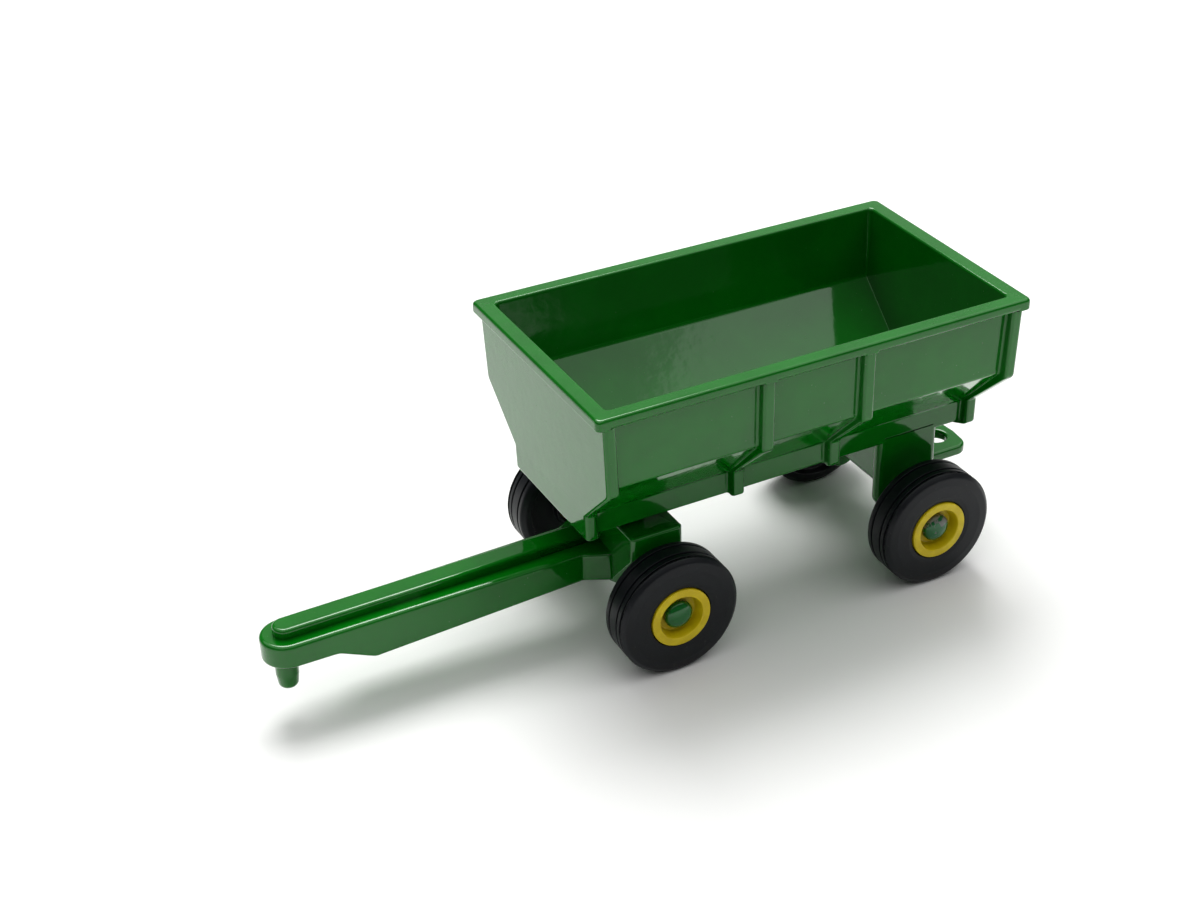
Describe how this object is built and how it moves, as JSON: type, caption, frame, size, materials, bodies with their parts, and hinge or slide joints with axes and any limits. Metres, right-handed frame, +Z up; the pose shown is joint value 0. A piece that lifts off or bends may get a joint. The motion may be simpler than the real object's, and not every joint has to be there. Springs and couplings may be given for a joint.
{
  "type": "gravity wagon",
  "caption": "Die-cast toy gravity wagon: open-topped sloped hopper on fixed rear legs, a steering front carriage with a long tongue, and free-running wheels.",
  "frame": {"origin": "on the ground, under the middle of the whole wagon's box from hitch plate to tongue tip", "axes": "+X forwards along the tongue, +Y to the wagon's left, +Z up"},
  "size_m": [0.104, 0.036, 0.0407],
  "materials": {
    "green_enamel": "gloss",
    "green_rivets": "gloss",
    "yellow_rims": "gloss",
    "black_tyres": "satin"
  },
  "bodies": {
    "wagon_body": {"hopper_casting": "green_enamel", "steering_rivet": "green_rivets", "rear_left_axle_stud": "green_rivets", "rear_right_axle_stud": "green_rivets"},
    "carriage": {"front_carriage": "green_enamel", "front_left_axle_stud": "green_rivets", "front_right_axle_stud": "green_rivets"},
    "front_left_wheel": {"front_left_rim": "yellow_rims", "front_left_tyre": "black_tyres"},
    "front_right_wheel": {"front_right_rim": "yellow_rims", "front_right_tyre": "black_tyres"},
    "rear_left_wheel": {"rear_left_rim": "yellow_rims", "rear_left_tyre": "black_tyres"},
    "rear_right_wheel": {"rear_right_rim": "yellow_rims", "rear_right_tyre": "black_tyres"}
  },
  "joints": [
    {"name": "steering", "type": "hinge", "parent": "wagon_body", "child": "carriage", "pos_m": [0.0027, 0, 0.012], "axis": [0, 0, 1], "range_deg": [-140, 140]},
    {"name": "front_left_wheel_spin", "type": "hinge", "parent": "carriage", "child": "front_left_wheel", "pos_m": [0.0027, 0.0148, 0.00845], "axis": [0, 1, 0], "continuous": true},
    {"name": "front_right_wheel_spin", "type": "hinge", "parent": "carriage", "child": "front_right_wheel", "pos_m": [0.0027, -0.0148, 0.00845], "axis": [0, 1, 0], "continuous": true},
    {"name": "rear_left_wheel_spin", "type": "hinge", "parent": "wagon_body", "child": "rear_left_wheel", "pos_m": [-0.0371, 0.0148, 0.00845], "axis": [0, 1, 0], "continuous": true},
    {"name": "rear_right_wheel_spin", "type": "hinge", "parent": "wagon_body", "child": "rear_right_wheel", "pos_m": [-0.0371, -0.0148, 0.00845], "axis": [0, 1, 0], "continuous": true}
  ]
}
